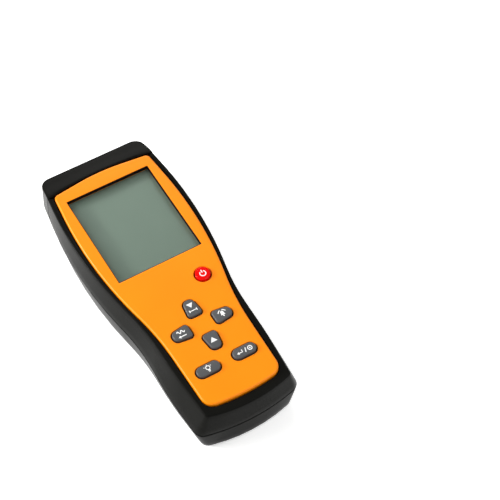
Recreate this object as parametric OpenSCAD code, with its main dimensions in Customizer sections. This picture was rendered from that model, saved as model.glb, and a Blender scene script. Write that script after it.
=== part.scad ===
// Hand-held ultrasonic thickness gauge, lying on its back with its face up.
// X runs across the gauge, Y along it towards the probe sockets, Z up out of the face.
// Plan sizes are measured from the centre of the display window. Heights are measured from the flat back.

/* [Case plan at the parting line] */
// Length of the head end, past the arched joint
head_l = 12.1; // [9:0.1:16]
// How far the head end stands out beside the panel, before its corners are rounded
head_beside = 2.05; // [1.7:0.05:4]
// Rounding of the head corners
head_corner_r = 10; // [6:0.5:14]
// How far the case stands out beside the panel at the display
wide_beside = 5.3; // [4.2:0.05:6.5]
// Distance from the window to that crossing, towards the foot
wide_back = 6; // [0:1:15]
// Radius of the side at the display
wide_r = 230; // [150:10:260]
// Half width at the waist, where the two straight sides would cross
waist_half = 28.8; // [28.4:0.1:30]
// Distance from the window to the waist
waist_back = 59; // [55:1:64]
// Radius of the side at the waist
waist_r = 120; // [80:10:140]
// Half width of the grip below the waist
grip_half = 30.7; // [30:0.1:32.5]
// Distance from the window to the widest part of the grip
grip_back = 90; // [82:1:98]
// Radius of the side at the grip
grip_r = 200; // [120:10:240]
// Half width of the foot end, before its corners are rounded
foot_half = 29; // [28.4:0.1:30.4]
// Distance from the window to the foot corners
foot_corner_back = 117.1; // [116.6:0.1:120]
// Rounding of the foot corners
foot_corner_r = 5.5; // [4:0.5:7]
// How far the point of the foot polygon stands beyond its corners
foot_crown = 6.5; // [4:0.1:7]
// Radius of the foot end
foot_r = 108; // [90:2:130]

/* [Case walls] */
// Wall of both case halves
wall_t = 2.2; // [1.8:0.1:2.4]
// Height of the parting line above the back
seam_z = 15; // [14.8:0.1:17]
// Gap of the parting line
seam_gap = 0.3; // [0.1:0.05:0.5]
// Height of the rim around the face panel
rim_z = 30.8; // [30.4:0.1:31.2]
// How far the rim falls at the foot
foot_fall = 0.2; // [0.1:0.1:1.5]
// Length over which the rim falls at the foot
foot_fall_run = 14; // [10:1:16]
// How far the top of the head falls to its end
head_fall = 2.6; // [0.5:0.1:4]
// How far the side walls lean in at the head, from the parting line to the rim
lean_head = 0.45; // [0.2:0.05:0.7]
// How far the side walls lean in at the display
lean_wide = 2.25; // [1.6:0.05:2.5]
// How far the side walls lean in at the waist
lean_waist = 2.8; // [1.6:0.1:3.2]
// How far the side walls lean in at the foot
lean_foot = 5.1; // [3.6:0.1:5.5]
// How far the foot wall leans in
lean_foot_end = 0.75; // [0.4:0.05:1.6]
// How far the head wall leans in
lean_head_end = 1.4; // [0.4:0.1:2]
// Rounding of the rim's foot corners
rim_foot_r = 2.5; // [1.5:0.1:4]
// Rounding of the rim's head corners
rim_head_r = 6; // [3:0.25:8]
// How far the sides of the back curve in at the foot, from the seam to the back
belly_foot_side = 4.2; // [3.4:0.1:4.4]
// How far the sides of the back curve in at the grip
belly_grip_side = 3.4; // [2.4:0.1:3.8]
// How far the sides of the back curve in at the waist
belly_waist_side = 1.7; // [1:0.1:3.4]
// How far the sides of the back curve in at the display
belly_wide_side = 1.6; // [1:0.1:4]
// How far the sides of the back curve in at the head
belly_head_side = 3.2; // [2:0.1:4]
// How far the back half draws in at the foot, from the seam to the back
belly_foot = 0.2; // [0.1:0.1:2.4]
// How far the back half draws in at the head, from the seam to the back
belly_head = 2.4; // [1.6:0.1:2.5]
// Edge rounding of the flat back
back_edge = 2; // [1:0.1:2.5]
// Width of the joint between the panel and the head
arch_over = 0.5; // [0.4:0.05:0.9]
// Radius of the arched joint
arch_r = 158; // [140:2:240]
// Radius with which the parting line turns up to the arch
seam_turn_r = 7; // [5:0.25:9.75]

/* [Face panel] */
// Top of the panel above the back
panel_z = 32; // [31.6:0.1:32.6]
// Height of the panel's edge
panel_t = 3; // [2.6:0.1:3.2]
// Thickness of the panel inside its edge
panel_plate_t = 1.4; // [1.1:0.1:1.7]
// Width of the panel's thick edge
panel_border = 2.2; // [1.6:0.1:3]
// Rounding of the panel's top edge
panel_edge_r = 1; // [0.5:0.1:1.4]
// Gap between the panel and its recess
panel_gap = 0.25; // [0.1:0.05:0.4]
// How far the panel runs past the window at the head, before it is rounded
panel_over = 10.15; // [9.9:0.05:11]
// Radius of the panel's arched top
panel_head_r = 110; // [80:5:160]
// How far the panel stands out beside the window at its head corners
panel_head_beside = 4.25; // [4:0.05:5]
// How far the head corners lie below the arch
panel_head_drop = 3.3; // [2.5:0.1:4]
// Rounding of the panel's head corners
panel_head_corner_r = 2.6; // [1.5:0.1:5]
// How far the panel stands out beside the window, where its straight sides would cross
panel_beside = 9.35; // [9:0.05:10]
// Distance from the window to that crossing
panel_wide_back = 14.2; // [10:0.2:18]
// Radius of the panel's side at the display
panel_wide_r = 234; // [150:2:240]
// Half width of the panel at the waist
panel_waist_half = 22.2; // [21.4:0.1:22.8]
// Distance from the window to the panel's waist
panel_waist_back = 65.5; // [62:0.5:70]
// Radius of the panel's side at the waist
panel_waist_r = 153; // [100:1:160]
// Half width of the panel at its foot corners
panel_foot_half = 21.3; // [20.6:0.1:21.8]
// Distance from the window to the panel's foot corners
panel_foot_back = 112.6; // [111.8:0.1:113.2]
// Rounding of the panel's foot corners
panel_foot_corner_r = 7.6; // [5:0.1:8]
// How far the panel's foot stands out between its corners
panel_foot_crown = 2.7; // [1.5:0.1:3]
// Radius of the panel's foot
panel_foot_r = 133; // [90:1:140]

/* [Display] */
// Width of the display window
window_w = 47.5; // [44:0.5:49]
// Length of the display window
window_h = 57.5; // [54:0.5:58.5]
// Depth of the window in front of its clear lens
window_depth = 2.4; // [2:0.1:2.6]
// Thickness of the clear lens
lens_t = 1.2; // [0.8:0.1:1.4]
// How far the lens and the glass reach beyond the window on each side
lens_lap = 2.5; // [2:0.1:2.6]
// Thickness of the liquid crystal glass
glass_t = 2; // [1.6:0.1:2.2]
// Width of the holder's rim around the glass
holder_rim = 1.6; // [1.2:0.1:2]
// Width of each contact strip
strip_w = 2; // [1.6:0.1:2.4]
// How much shorter than the window each contact strip is
strip_short = 1.5; // [0:0.5:10]
// Gap around loosely fitted display pieces
display_gap = 0.2; // [0.1:0.05:0.3]

/* [Keys] */
// How far the keys stand above the panel
key_rise = 1; // [0.8:0.1:1.4]
// Travel of each key
key_travel = 0.9; // [0.6:0.05:0.95]
// Gap around each key
key_gap = 0.35; // [0.25:0.05:0.5]
// Top rounding of the keys
key_edge = 0.7; // [0.4:0.05:0.8]
// How far a key's flange reaches under the case
key_flange = 1.2; // [0.9:0.1:1.4]
// Thickness of a key's flange
key_flange_t = 1; // [0.8:0.1:1.1]
// Diameter of the power key
power_d = 8.4; // [7:0.1:9.4]
// Sideways place of the power key
power_x = 15.1; // [13:0.1:15.6]
// Distance from the window to the power key
power_below = 16.65; // [16:0.05:17.5]
// Width of the four direction keys
arrow_w = 8.6; // [7.6:0.1:9.2]
// Length of the four direction keys
arrow_l = 10.2; // [9:0.1:10.6]
// Half width of a direction key's narrow end
arrow_tip = 2.9; // [2.4:0.1:3.2]
// Round of the corners at the narrow end
arrow_tip_r = 2.8; // [1.5:0.1:2.8]
// Round of the corners at the wide end
arrow_top_r = 1.9; // [1:0.1:2.4]
// Distance from the window to the middle of the direction keys
arrow_back = 71.1; // [70.2:0.1:72]
// Distance of the direction keys from their middle, along the gauge
arrow_pitch_y = 10.8; // [10.4:0.1:11.2]
// Distance of the direction keys from their middle, across the gauge
arrow_pitch_x = 11.7; // [11.2:0.1:12]
// Length of the two long keys
long_w = 13.2; // [11.5:0.1:14]
// Width of the two long keys
long_h = 6.4; // [5.6:0.1:7]
// Distance of the long keys from the middle line
long_x = 10.2; // [9.8:0.1:10.6]
// Distance from the window to the long keys
long_back = 94.8; // [94.4:0.1:95.6]
// Sheet thickness of the dome mat
mat_t = 0.8; // [0.6:0.1:1]
// Height of the domes on the mat
dome_h = 1.3; // [1:0.1:1.5]
// Radius of the domes at their foot
dome_r = 2.4; // [2:0.1:2.6]
// Radius at the top of a dome
dome_top_r = 1.6; // [1.2:0.1:1.8]
// Radius of the stem under a key
stem_r = 1.8; // [1.4:0.1:2]
// Border of the mat round its domes
mat_edge = 0.6; // [0.4:0.1:1]
// Room between a fully pressed key and its dome
dome_gap = 0.1; // [0.05:0.05:0.3]

/* [Board] */
// Thickness of the circuit board
board_t = 1.6; // [1.2:0.1:2]
// Height of the board's top above the back
board_z = 22.6; // [22.2:0.1:23]
// How far the board stands out past the display holder
board_edge = 0.15; // [0.1:0.05:0.4]
// Half width of the board under the keys
board_neck_half = 18.2; // [17.6:0.1:18.4]
// Half width of the board's tail
board_tail_half = 11; // [9:0.5:12]
// Room between the display holder and the posts that carry the board
post_gap = 0.15; // [0.1:0.05:0.5]
// How far the wide part of the board runs past the window
board_neck_over = 2.25; // [1.5:0.25:3.5]
// Distance from the window to the board's tail
board_tail_back = 100.5; // [99.5:0.5:101]
// Distance from the window to the board's end
board_end_back = 108; // [107.5:0.5:111]
// Radius of the posts that carry the board
post_r = 2.2; // [1.9:0.1:2.3]
// Shank radius of the board screws
board_screw_r = 0.9; // [0.7:0.05:1]
// Head radius of the board screws
board_screw_head_r = 1.9; // [1.6:0.1:2.1]
// Head height of the board screws
board_screw_head_h = 1.3; // [1:0.1:1.6]
// Length of the board screws under the head
board_screw_l = 5; // [4:0.25:5.5]
// Length of the cross in a board screw's head
board_slot_l = 2; // [1.6:0.1:2.4]
// Width of the cross in a board screw's head
board_slot_w = 0.5; // [0.4:0.05:0.6]

/* [Case screws] */
// Sideways place of the two screws at the waist
upper_screw_x = 22.5; // [22.2:0.1:22.8]
// Distance from the window to the two screws at the waist
upper_screw_below = 7.85; // [7.5:0.05:8.4]
// Sideways place of the two screws at the foot
lower_screw_x = 16.6; // [16:0.1:17.4]
// Distance from the window to the two screws at the foot
lower_screw_back = 106.4; // [105.8:0.1:107.2]
// Shank radius of the case screws
case_screw_r = 1.25; // [1.1:0.05:1.4]
// Head radius of the case screws
case_screw_head_r = 2.3; // [2:0.1:2.4]
// Head height of the case screws
case_screw_head_h = 1.8; // [1.4:0.1:2.2]
// Length of the case screws under the head
case_screw_l = 17; // [15:0.5:18]
// Length of the cross in a case screw's head
case_slot_l = 2.6; // [2.2:0.1:3]
// Width of the cross in a case screw's head
case_slot_w = 0.6; // [0.5:0.05:0.8]
// Depth of the screw wells in the back
well_depth = 8; // [6:0.5:9]
// Radius of the screw columns in the back
column_r = 3.7; // [3.5:0.05:3.9]
// Radius of the screw posts in the front
screw_post_r = 3.2; // [3:0.05:3.4]
// Gap around screws in their holes
screw_gap = 0.2; // [0.1:0.05:0.3]

/* [Battery bay] */
// Radius of a cell, size AAA
cell_r = 5.25; // [5:0.05:5.3]
// Length of a cell without its button
cell_l = 43.5; // [42:0.25:44]
// Radius of a cell's raised end
nub_r = 1.9; // [1.8:0.05:1.95]
// Height of a cell's raised end
nub_l = 0.8; // [0.8:0.05:1]
// Gap between neighbouring cells
cell_gap = 0.15; // [0.1:0.05:0.2]
// Height of the cells' axes above the back
cell_z = 8; // [7.8:0.1:8.2]
// Distance from the window to the bay's head end
bay_back = 44; // [43.6:0.1:45]
// Length of the bay
bay_l = 50.8; // [50:0.1:51]
// Side gap between the cells and the bay
bay_gap = 0.3; // [0.25:0.05:0.35]
// Wall of the bay's sides and roof
bay_wall = 1.3; // [1.1:0.05:1.4]
// Thickness of the bay's end walls
bay_end_t = 3.2; // [2.8:0.1:3.6]
// Thickness of the battery cover
cover_t = 1.3; // [1.1:0.05:1.4]
// How far the cover lies below the level of the back
cover_sink = 0.2; // [0.1:0.05:0.3]
// How far the cover reaches over the bay's ends
cover_lap = 2.7; // [2.2:0.1:2.9]
// Gap around the cover
cover_gap = 0.3; // [0.2:0.05:0.4]
// Length of the cover's tongues
tongue_l = 1.8; // [1.2:0.1:2]
// Width of the cover's tongues
tongue_w = 6; // [4:0.5:8]
// Sideways place of the tongues
tongue_x = 10; // [7:0.5:13]
// Thickness of the tongues
tongue_t = 0.6; // [0.5:0.05:0.7]
// Width of the cover's latch
latch_w = 8; // [6:0.5:11]
// Thickness of the latch
latch_t = 2.1; // [1.6:0.1:2.3]
// Height of the latch inside the cover
latch_h = 2.5; // [1.5:0.1:3]
// Distance between the grip grooves of the cover
groove_pitch = 2; // [1.6:0.1:2.4]
// Width of a grip groove
groove_w = 1; // [0.8:0.1:1.2]
// Depth of a grip groove
groove_depth = 0.4; // [0.2:0.05:0.5]
// Thickness of the contact plates
plate_t = 0.4; // [0.3:0.05:0.5]
// Half width of a contact plate
plate_half = 4; // [3:0.1:4.6]
// Wire radius of the contact springs
spring_wire_r = 0.3; // [0.25:0.05:0.35]
// Radius of a spring at its plate
spring_base_r = 3.6; // [3:0.1:4]
// Radius of a spring at its cell
spring_tip_r = 1.8; // [1.5:0.1:2.5]

/* [Probe sockets] */
// Distance of each socket from the middle line
socket_x = 12; // [10:0.5:13.5]
// Height of the sockets above the back
socket_z = 13.5; // [13:0.1:14]
// Depth of the flat seat in the head wall
socket_recess = 1.2; // [1:0.1:1.4]
// Radius of the socket's plug bore
socket_bore_r = 2.5; // [2.2:0.05:2.6]
// Depth of the plug bore
socket_bore_l = 7; // [6:0.25:7.5]
// Outer radius of the socket's nose
socket_nose_r = 3.75; // [3.5:0.05:4]
// Length of the nose and flange outside the case
socket_out = 3.8; // [3.2:0.1:3.9]
// Radius of the socket's flange
socket_flange_r = 4.8; // [4.4:0.1:5]
// Thickness of the socket's flange
socket_flange_t = 1.2; // [0.8:0.1:1.5]
// Radius of the socket's threaded barrel
socket_barrel_r = 3.4; // [3.2:0.05:3.5]
// Length of the barrel behind the seat
socket_barrel_l = 8.3; // [8:0.1:9]
// Thickness of the pad behind the head wall
socket_pad_t = 2.3; // [2.2:0.1:2.8]
// Width of the socket nuts across their flats
nut_af = 9.5; // [9:0.25:10]
// Thickness of the socket nuts
nut_t = 2.5; // [2:0.1:3]
// Gap between the socket and the holes around it
socket_gap = 0.1; // [0.05:0.05:0.2]
// Radius of the centre contact
contact_r = 0.5; // [0.3:0.05:0.7]
// How far a contact stands out behind its socket
contact_out = 2; // [1:0.1:3]
// Radius of the leads inside the case
lead_r = 0.8; // [0.6:0.05:0.9]
// How far a socket's lead runs back before it turns up
lead_run = 5; // [4:0.1:6]

/* [Board pieces] */
// Side of the square processor
processor_w = 12; // [10:0.5:13]
// Height of the two chips
chip_t = 1.6; // [1.2:0.1:2.2]
// Width of the pulser chip
pulser_w = 8; // [6:0.5:10]
// Length of the pulser chip
pulser_l = 10; // [8:0.5:12]
// How far the pulser chip lies from the window's middle
pulser_up = 18; // [16:0.5:22]
// How far the processor, crystal and buzzer lie below the window's middle
processor_back = 12; // [10:0.5:14]
// Width of the crystal can
crystal_w = 4.5; // [4:0.1:5]
// Length of the crystal can
crystal_l = 11; // [10:0.1:12]
// Height of the crystal can
crystal_t = 3.5; // [3:0.1:4]
// How far the crystal and buzzer lie to the sides
beside_x = 13; // [12.5:0.1:15]
// Radius of a capacitor
capacitor_r = 2.5; // [2:0.1:3]
// Height of a capacitor
capacitor_h = 5; // [4:0.1:6]
// How far the capacitors lie to the sides
capacitor_x = 17; // [15:0.5:20]
// How far the capacitors lie above the window's middle
capacitor_up = 10; // [8:0.5:12]
// Radius of the buzzer
buzzer_r = 4.5; // [4:0.1:5]
// Height of the buzzer
buzzer_h = 4; // [3:0.1:5]
// Radius of the buzzer's sound hole
buzzer_hole_r = 1; // [0.6:0.1:1.4]

/* [Hidden] */

$fn = 48;
eps = 0.01;
far = 300;
cut = 1;
round_steps = 32;
arc_steps = 6;
edge_steps = 2;
turn_steps = 8;
wire_steps = 10;
spring_turns = 3;
belly_power = 1.2;
edge_share = 0.3;
edge_fill = 0.96;
board_corner = 3;
all_sides = [1, 1, 1, 1, 1];

black = [0.17, 0.17, 0.16];
orange = [0.99, 0.6, 0.13];
grey = [0.35, 0.35, 0.36];
metal = [0.75, 0.75, 0.77];

// Plan sizes worked out from the display window
window_half_w = window_w / 2;
window_half_h = window_h / 2;
panel_wide_half = window_half_w + panel_beside;
panel_head_half = window_half_w + panel_head_beside;
wide_half = panel_wide_half + wide_beside;
head_half = panel_head_half + head_beside;
panel_head = window_half_h + panel_over;
arch_reach = panel_head + arch_over;
head_reach = arch_reach + head_l;
holder_half_w = window_half_w + lens_lap + display_gap + holder_rim;
holder_half_h = window_half_h + lens_lap + display_gap + holder_rim;
board_half = holder_half_w + board_edge;
board_head = holder_half_h + post_gap + 2 * post_r;
board_neck_back = window_half_h + board_neck_over;
upper_screw_back = window_half_h + upper_screw_below;
power_back = window_half_h + power_below;
strip_l = window_w - strip_short;

// Heights worked out from the stack
plateau_z = panel_z - panel_plate_t;
pocket_z = panel_z - panel_t;
lens_z = panel_z - window_depth - lens_t;
glass_z = lens_z - glass_t - display_gap / 2;
deck_z = pocket_z - panel_plate_t;
board_low = board_z - board_t;
key_low = board_z + mat_t + dome_h + dome_gap + key_travel;
lens_w = window_w + 2 * lens_lap;
lens_h = window_h + 2 * lens_lap;
bay_low = bay_back + bay_l;
bay_half = 2 * (2 * cell_r) + 1.5 * cell_gap + bay_gap;
bay_top = cell_z + cell_r + bay_gap;
cover_half = bay_half - cover_gap + bay_gap / 2;
cover_head = bay_back - cover_lap;
cover_foot = bay_low + cover_lap;
seat_y = head_reach - socket_recess;
nose_y = seat_y + socket_out;
pad_half = socket_x + 1.4 * socket_flange_r;
pad_rise = 1.25 * socket_flange_r;
foot_end = -min([for (p = drawn_plan(0 * all_sides, 0, 0)) p.y]);
window_y = (foot_end - nose_y) / 2;
arch_side = arch_reach - arch_r + sqrt(arch_r * arch_r - head_half * head_half);
arch_step_z = pocket_z - cut;
belly_sides = [belly_foot_side, belly_grip_side, belly_waist_side, belly_wide_side, belly_head_side];

upper_screws = [for (s = [-1, 1]) [s * upper_screw_x, -upper_screw_back]];
lower_screws = [for (s = [-1, 1]) [s * lower_screw_x, -lower_screw_back]];
screw_places = concat(upper_screws, lower_screws);
post_head_y = board_head - post_r;
post_head_x = board_half - board_corner - 2 * post_r;
post_neck_x = board_neck_half - 1.2 * post_r;
post_neck_y = -(holder_half_h + 1.9 * post_r);
post_tail_y = -(board_end_back - 1.7 * post_r);
post_places = [[-post_head_x, post_head_y], [post_head_x, post_head_y], [-post_neck_x, post_neck_y],
    [post_neck_x, post_neck_y], [0, post_tail_y]];
cell_places = [for (k = [-1.5 : 1 : 1.5]) k * (2 * cell_r + cell_gap)];

// Outlines: a polygon with a radius at each corner, as [x, y, radius]
function turn_at(v, i) =
    let (n = len(v), a = v[(i + n - 1) % n], p = v[i], b = v[(i + 1) % n],
        from = atan2(p.y - a.y, p.x - a.x), to = atan2(b.y - p.y, b.x - p.x), d = to - from)
    d > 180 ? d - 360 : d < -180 ? d + 360 : d;
function flat_gap(a, b) = norm([b.x - a.x, b.y - a.y]);
function want_at(v, i) = v[i][2] * tan(abs(turn_at(v, i)) / 2);
function share_at(v, i) =
    let (n = len(v), h = (i + n - 1) % n, j = (i + 1) % n, w = want_at(v, i))
    min(1, edge_fill * flat_gap(v[h], v[i]) / (want_at(v, h) + w),
        edge_fill * flat_gap(v[i], v[j]) / (w + want_at(v, j)));
function arc_at(v, i, steps) =
    let (n = len(v), a = v[(i + n - 1) % n], p = v[i], turn = turn_at(v, i),
        from = atan2(p.y - a.y, p.x - a.x), r = p[2] * share_at(v, i) * sign(turn),
        reach = want_at(v, i) * share_at(v, i),
        start = [p.x - reach * cos(from), p.y - reach * sin(from)])
    [for (k = [0 : steps]) let (h = from + turn * k / steps)
        [start.x + r * (sin(h) - sin(from)), start.y + r * (cos(from) - cos(h))]];
// Straight stretches get a few points of their own, apart from the one across the head
function rounded(v, steps = arc_steps, between = edge_steps, plain_edge = -1) =
    let (n = len(v), arcs = [for (i = [0 : n - 1]) arc_at(v, i, steps)])
    [for (i = [0 : n - 1])
        let (last = arcs[i][steps], next = arcs[(i + 1) % n][0], count = i == plain_edge ? 0 : between)
        each concat(arcs[i], [for (k = [1 : 1 : count]) last + (next - last) * k / (count + 1)])];
function both_sides(right) =
    concat(right, [for (i = [len(right) - 1 : -1 : 0])
        if (right[i].x > eps) [-right[i].x, right[i].y, right[i][2]]]);

// Plan of the case, drawn in by lean at each corner; r_foot and r_head round its ends
function case_plan(lean, foot_in, head_in, r_foot, r_head) = rounded(both_sides([
    [0, foot_in - foot_corner_back - foot_crown, foot_r],
    [foot_half - lean[0], foot_in - foot_corner_back, r_foot],
    [grip_half - lean[1], -grip_back, grip_r],
    [waist_half - lean[2], -waist_back, waist_r],
    [wide_half - lean[3], -wide_back, wide_r],
    [head_half - lean[4], head_reach - head_in, r_head]]), plain_edge = 5);
function drawn_plan(sides, foot_in, head_in) = case_plan(sides, foot_in, head_in,
    max(1, foot_corner_r - foot_in / 2), max(2, head_corner_r - head_in / 2));
function rim_plan(inset) =
    case_plan([lean_foot, lean_foot, lean_waist, lean_wide, lean_head] + inset * all_sides,
        lean_foot_end + inset, lean_head_end + inset, rim_foot_r, rim_head_r);
function ease(t) = let (u = min(1, max(0, t))) u * u * (3 - 2 * u);
function rim_height(y) =
    let (fall_start = foot_corner_back + foot_crown - lean_foot_end - foot_fall_run)
    rim_z - foot_fall * ease((-y - fall_start) / foot_fall_run)
        - head_fall * max(0, (y - arch_reach) / (head_reach - lean_head_end - arch_reach));
function panel_plan(inset) = rounded(both_sides([
    [0, inset - panel_foot_back - panel_foot_crown, panel_foot_r],
    [panel_foot_half - inset, inset - panel_foot_back, max(1, panel_foot_corner_r - inset)],
    [panel_waist_half - inset, -panel_waist_back, panel_waist_r],
    [panel_wide_half - inset, -panel_wide_back, panel_wide_r],
    [panel_head_half - inset, panel_head - panel_head_drop - inset, max(0.4, panel_head_corner_r - inset)],
    [0, panel_head - inset, panel_head_r]]));

// Solids through a stack of rings
function at_height(plan, z) = [for (p = plan) [p.x, p.y, z]];
function side_faces(count, n) = [for (r = [0 : count - 2], i = [0 : n - 1])
    let (j = (i + 1) % n, a = r * n, b = a + n) each [[a + i, b + i, b + j], [a + i, b + j, a + j]]];
module loft(rings) {
    n = len(rings[0]);
    top = (len(rings) - 1) * n;
    polyhedron([for (r = rings) each r],
        concat([[for (i = [0 : n - 1]) i]], side_faces(len(rings), n),
            [[for (i = [n - 1 : -1 : 0]) top + i]]));
}
// The case's top isn't flat: both ends are closed by strips from side to side
module case_loft(rings) {
    n = len(rings[0]);
    top = (len(rings) - 1) * n;
    first = arc_steps / 2;
    last = (n + arc_steps - 1) / 2;
    function twin(i) = (arc_steps - i + n) % n;
    lid = concat([[first, twin(first + 1), first + 1]],
        [for (i = [first + 1 : last - 1]) each [[i, twin(i), twin(i + 1)], [i, twin(i + 1), i + 1]]]);
    polyhedron([for (r = rings) each r],
        concat([for (f = lid) [f[2], f[1], f[0]]], side_faces(len(rings), n),
            [for (f = lid) f + top * [1, 1, 1]]));
}
function belly(t) = pow(t, belly_power);
function belly_ring(z, low, inset) =
    let (t = (seam_z - z) / seam_z, edge = max(0, back_edge - (z - low)),
        round = edge > 0 ? back_edge - sqrt(back_edge * back_edge - edge * edge) : 0, more = round + inset)
    at_height(drawn_plan(belly_sides * belly(t) + more * all_sides, belly_foot * belly(t) + more,
        belly_head * belly(t) + more), z);
function rim_ring(inset, drop) = [for (p = rim_plan(inset)) [p.x, p.y, rim_height(p.y) - drop]];
function roof_ring() = [for (p = rim_plan(wall_t)) [p.x, p.y, min(deck_z, rim_height(p.y) - wall_t)]];
belly_levels = [for (k = [1 : 4]) back_edge + (seam_z - back_edge) * k / 4];
module case_outside() {
    case_loft(concat([for (z = [0, back_edge * 0.35, back_edge]) belly_ring(z, 0, 0)],
        [for (z = belly_levels) belly_ring(z, 0, 0)], [rim_ring(0, 0)]));
}
module case_inside() {
    case_loft(concat([for (z = [wall_t, wall_t + back_edge]) belly_ring(z, wall_t, wall_t)],
        [for (z = [belly_levels[1], seam_z]) belly_ring(z, wall_t, wall_t)], [roof_ring()]));
}
// The space that belongs to the front half, seen from the side: the parting line turns up to the arch
module front_space(gap) {
    turn_y = arch_side - seam_turn_r;
    low = seam_z + gap;
    intersection() {
        union() {
            rotate([90, 0, 90]) translate([0, 0, -far / 2]) linear_extrude(far) polygon(concat(
                [[-far, far], [-far, low]],
                [for (k = [0 : turn_steps]) [turn_y - gap + seam_turn_r * sin(k * 90 / turn_steps),
                    low + seam_turn_r * (1 - cos(k * 90 / turn_steps))]],
                [[turn_y - gap + seam_turn_r, far]]));
            translate([-far / 2, -far, arch_step_z + gap]) cube([far, 2 * far, far]);
        }
        translate([0, arch_reach - gap - arch_r, 0]) cylinder(r = arch_r, h = far, $fn = 200);
    }
}

module place() {
    translate([0, window_y, 0]) children();
}
module box(x0, x1, y0, y1, z0, z1) {
    translate([x0, y0, z0]) cube([x1 - x0, y1 - y0, z1 - z0]);
}
module centred(w, h, z0, z1) {
    box(-w / 2, w / 2, -h / 2, h / 2, z0, z1);
}
module post(p, r, z0, z1) {
    translate([p.x, p.y, z0]) cylinder(r = r, h = z1 - z0);
}

// Key outlines, grown by g; the direction keys are shields with their round end outwards
function round_key(d, g) =
    [for (k = [0 : round_steps - 1]) let (a = 360 * k / round_steps) (d / 2 + g) * [cos(a), sin(a)]];
function arrow_key(g) = rounded(both_sides([
    [arrow_tip + g, -arrow_l / 2 - g, arrow_tip_r + g],
    [arrow_w / 2 + g, arrow_l / 2 + g, arrow_top_r + g]]), between = 0);
function long_key(g) = let (r = long_h / 2 + g, w = long_w / 2 + g) rounded([
    [w, -r, r], [w, r, r], [-w, r, r], [-w, -r, r]], between = 0);
function turned(plan, a) = [for (p = plan) [p.x * cos(a) - p.y * sin(a), p.x * sin(a) + p.y * cos(a)]];
function moved(plan, at) = [for (p = plan) p + at];
power_at = [power_x, -power_back];
up_at = [0, -arrow_back - arrow_pitch_y];
down_at = [0, -arrow_back + arrow_pitch_y];
left_at = [-arrow_pitch_x, -arrow_back];
right_at = [arrow_pitch_x, -arrow_back];
enter_at = [long_x, -long_back];
light_at = [-long_x, -long_back];
key_places = [power_at, up_at, down_at, left_at, right_at, enter_at, light_at];
function key_plans(g) = [
    moved(round_key(power_d, g), power_at), moved(arrow_key(g), up_at),
    moved(turned(arrow_key(g), 180), down_at), moved(turned(arrow_key(g), -90), left_at),
    moved(turned(arrow_key(g), 90), right_at), moved(long_key(g), enter_at),
    moved(long_key(g), light_at)];
module key(index, tint) {
    top = panel_z + key_rise;
    color(tint) {
        loft([at_height(key_plans(0)[index], deck_z - eps), at_height(key_plans(0)[index], top - key_edge),
            at_height(key_plans(-edge_share * key_edge)[index], top - edge_share * key_edge),
            at_height(key_plans(-key_edge)[index], top)]);
        translate([0, 0, deck_z - key_flange_t])
            linear_extrude(key_flange_t) polygon(key_plans(key_flange)[index]);
        post(key_places[index], stem_r, key_low, deck_z - key_flange_t + eps);
    }
}

module front_panel() {
    color(orange) difference() {
        loft([at_height(panel_plan(0), pocket_z), at_height(panel_plan(0), panel_z - panel_edge_r),
            at_height(panel_plan(edge_share * panel_edge_r), panel_z - edge_share * panel_edge_r),
            at_height(panel_plan(panel_edge_r), panel_z)]);
        translate([0, 0, pocket_z - 1])
            linear_extrude(plateau_z - pocket_z + 1) polygon(panel_plan(panel_border));
        centred(window_w, window_h, 0, far);
        for (plan = key_plans(key_gap)) linear_extrude(far) polygon(plan);
    }
}

module front_case() {
    color(black) difference() {
        union() {
            difference() {
                intersection() {
                    case_outside();
                    front_space(seam_gap);
                }
                case_inside();
                translate([0, 0, pocket_z]) linear_extrude(far) polygon(panel_plan(-panel_gap));
            }
            translate([0, 0, deck_z])
                linear_extrude(plateau_z - deck_z) polygon(panel_plan(panel_border + panel_gap));
            for (p = post_places) post(p, post_r, board_z, deck_z + eps);
            for (p = screw_places) post(p, screw_post_r, seam_z, deck_z + eps);
        }
        centred(window_w, window_h, 0, far);
        centred(lens_w + 2 * display_gap, lens_h + 2 * display_gap, board_z, lens_z + lens_t);
        for (plan = key_plans(key_gap)) linear_extrude(far) polygon(plan);
        for (p = post_places) post(p, board_screw_r + screw_gap / 4, board_z - 1, board_z + board_screw_l);
        for (p = screw_places)
            post(p, case_screw_r + screw_gap / 4, seam_z - 1, well_depth + case_screw_l + 1);
    }
}

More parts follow.
